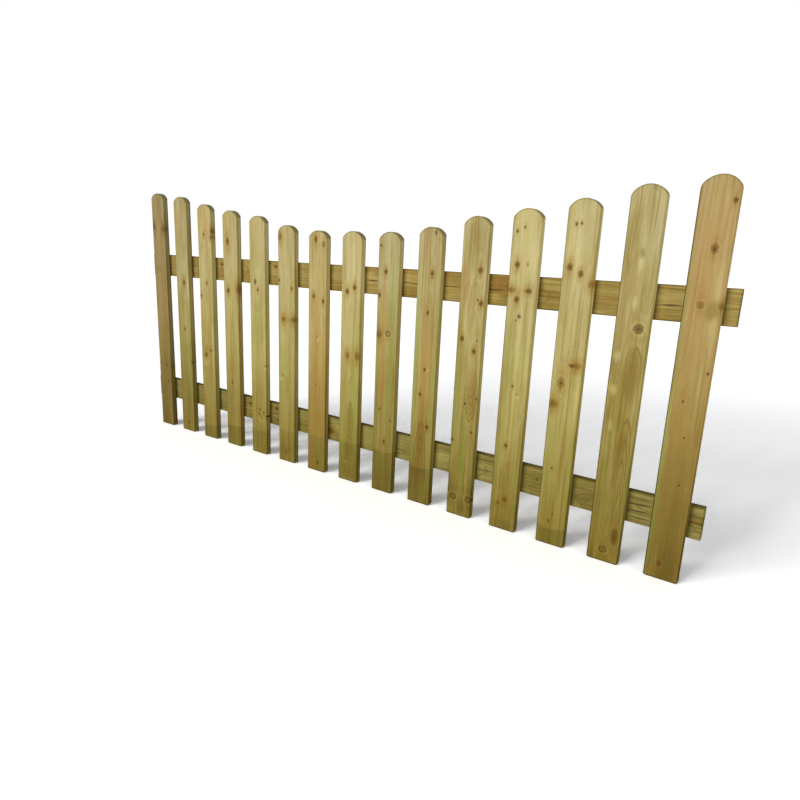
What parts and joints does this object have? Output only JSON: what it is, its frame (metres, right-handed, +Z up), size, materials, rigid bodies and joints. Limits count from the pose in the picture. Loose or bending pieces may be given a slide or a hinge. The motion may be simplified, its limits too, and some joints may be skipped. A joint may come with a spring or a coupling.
{
  "type": "garden fence panel",
  "caption": "Dipped picket fence panel in treated softwood: round-topped pales of stepped length on the front of two flat rails.",
  "frame": {"origin": "on the flat back face of the bottom rail, at the middle of its length and height", "axes": "+X along the panel, +Y out of the back of the panel, +Z up along the pales"},
  "size_m": [1.8, 0.038, 0.8],
  "materials": {
    "pale_timber": "planed softwood with a green-brown preservative treatment",
    "rail_timber": "planed softwood with a green-brown preservative treatment, grain along the rail",
    "nail_steel": "galvanised nail heads on the backs of the rails"
  },
  "bodies": {
    "root": {"pale_01": "pale_timber", "pale_02": "pale_timber", "pale_03": "pale_timber", "pale_04": "pale_timber", "pale_05": "pale_timber", "pale_06": "pale_timber", "pale_07": "pale_timber", "pale_08": "pale_timber", "pale_09": "pale_timber", "pale_10": "pale_timber", "pale_11": "pale_timber", "pale_12": "pale_timber", "pale_13": "pale_timber", "pale_14": "pale_timber", "pale_15": "pale_timber", "rail_bottom": "rail_timber", "rail_top": "rail_timber"}
  },
  "joints": []
}
